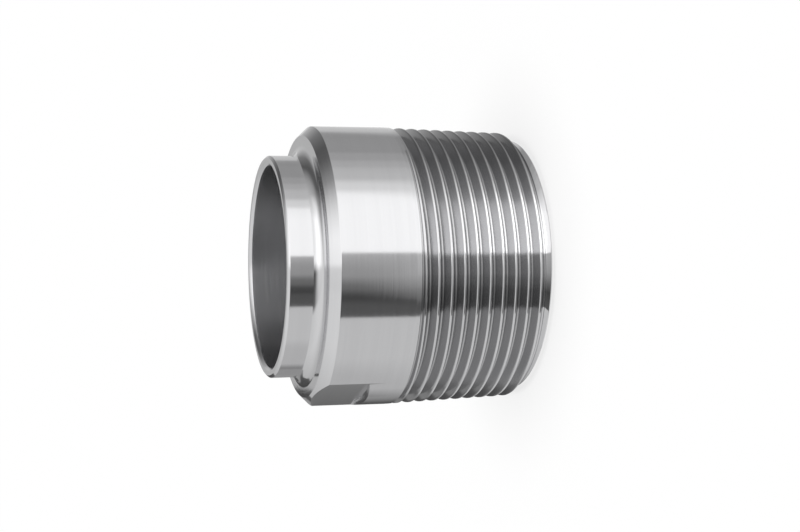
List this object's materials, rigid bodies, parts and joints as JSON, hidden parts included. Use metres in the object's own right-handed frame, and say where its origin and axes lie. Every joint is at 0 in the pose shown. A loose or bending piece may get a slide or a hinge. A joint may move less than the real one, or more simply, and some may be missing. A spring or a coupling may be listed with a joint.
{
  "type": "sanitary pipe adapter",
  "caption": "Turned stainless adapter from a butt-weld tube stub to a tapered male pipe thread, with a plain through bore and two wrench flats.",
  "frame": {"origin": "middle of the threaded end face, which the adapter stands on", "axes": "+Z along the bore, from the threaded end to the weld end; the wrench flats face -Y and +Y"},
  "size_m": [0.0482, 0.0484, 0.044],
  "materials": {
    "turned_steel": "turned and polished stainless steel, with fine turning marks round the axis"
  },
  "bodies": {
    "root": {"adapter": "turned_steel"}
  },
  "joints": []
}
